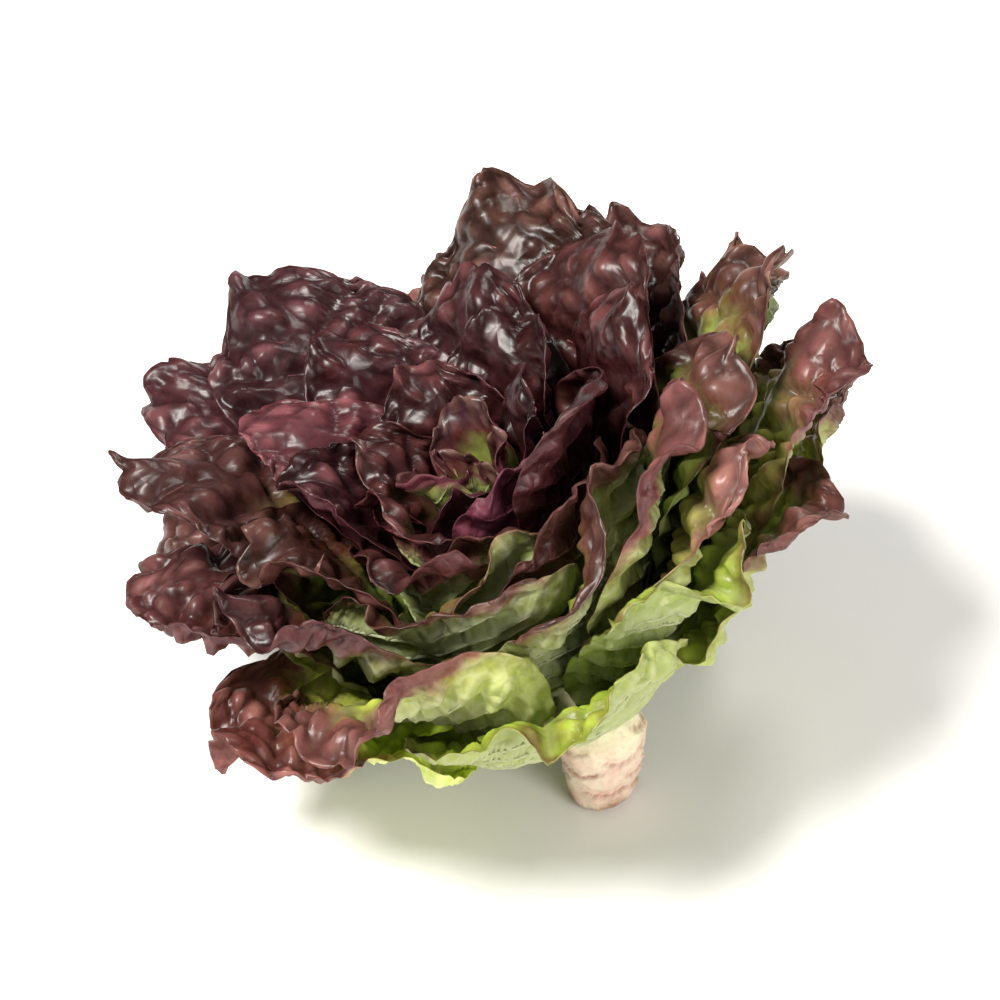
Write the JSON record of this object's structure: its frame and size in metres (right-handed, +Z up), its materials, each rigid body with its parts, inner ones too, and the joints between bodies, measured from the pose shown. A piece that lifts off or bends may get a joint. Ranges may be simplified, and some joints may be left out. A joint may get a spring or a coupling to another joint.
{
  "type": "red oak leaf lettuce",
  "caption": "Cut head of red oak leaf lettuce: ruffled burgundy leaves with green bases round a lime heart, on a pale stump, leaning on its lowest leaves.",
  "frame": {"origin": "centre of the bottom of the bounding box, on the surface that the head rests on", "axes": "+Z up from the surface, -Y towards the viewer, so +X is to the viewer's right. The head leans over to -X and +Y from its stump."},
  "size_m": [0.2564, 0.244, 0.1764],
  "materials": {
    "stem": "pale matte flesh with pink and brown leaf scars and a brown cut end",
    "lower_leaf": "green crinkled leaf with a purple-brown rim, half glossy",
    "outer_leaf": "green at the base and red-brown at the end, waxy gloss on the upper face",
    "middle_leaf": "dark burgundy leaf with a waxy gloss",
    "inner_leaf": "dark burgundy leaf with an olive base and a waxy gloss",
    "heart_leaf": "lime green baby leaf with a magenta rim"
  },
  "bodies": {
    "root": {"heart_leaf_01": "heart_leaf", "heart_leaf_02": "heart_leaf", "heart_leaf_03": "heart_leaf", "heart_leaf_04": "heart_leaf", "heart_leaf_05": "heart_leaf", "heart_leaf_06": "heart_leaf", "heart_leaf_07": "heart_leaf", "inner_leaf_01": "inner_leaf", "inner_leaf_02": "inner_leaf", "inner_leaf_03": "inner_leaf", "inner_leaf_04": "inner_leaf", "inner_leaf_05": "inner_leaf", "inner_leaf_06": "inner_leaf", "inner_leaf_07": "inner_leaf", "inner_leaf_08": "inner_leaf", "inner_leaf_09": "inner_leaf", "inner_leaf_10": "inner_leaf", "inner_leaf_11": "inner_leaf", "inner_leaf_12": "inner_leaf", "inner_leaf_13": "inner_leaf", "inner_leaf_14": "inner_leaf", "lower_leaf_01": "lower_leaf", "lower_leaf_02": "lower_leaf", "lower_leaf_03": "lower_leaf", "lower_leaf_04": "lower_leaf", "lower_leaf_05": "lower_leaf", "lower_leaf_06": "lower_leaf", "lower_leaf_07": "lower_leaf", "lower_leaf_08": "lower_leaf", "lower_leaf_09": "lower_leaf", "lower_leaf_10": "lower_leaf", "lower_leaf_11": "lower_leaf", "middle_leaf_01": "middle_leaf", "middle_leaf_02": "middle_leaf", "middle_leaf_03": "middle_leaf", "middle_leaf_04": "middle_leaf", "middle_leaf_05": "middle_leaf", "middle_leaf_06": "middle_leaf", "middle_leaf_07": "middle_leaf", "middle_leaf_08": "middle_leaf", "middle_leaf_09": "middle_leaf", "middle_leaf_10": "middle_leaf", "middle_leaf_11": "middle_leaf", "middle_leaf_12": "middle_leaf", "middle_leaf_13": "middle_leaf", "outer_leaf_01": "outer_leaf", "outer_leaf_02": "outer_leaf", "outer_leaf_03": "outer_leaf", "outer_leaf_04": "outer_leaf", "outer_leaf_05": "outer_leaf", "outer_leaf_06": "outer_leaf", "outer_leaf_07": "outer_leaf", "outer_leaf_08": "outer_leaf", "outer_leaf_09": "outer_leaf", "outer_leaf_10": "outer_leaf", "outer_leaf_11": "outer_leaf", "stem": "stem"}
  },
  "joints": []
}
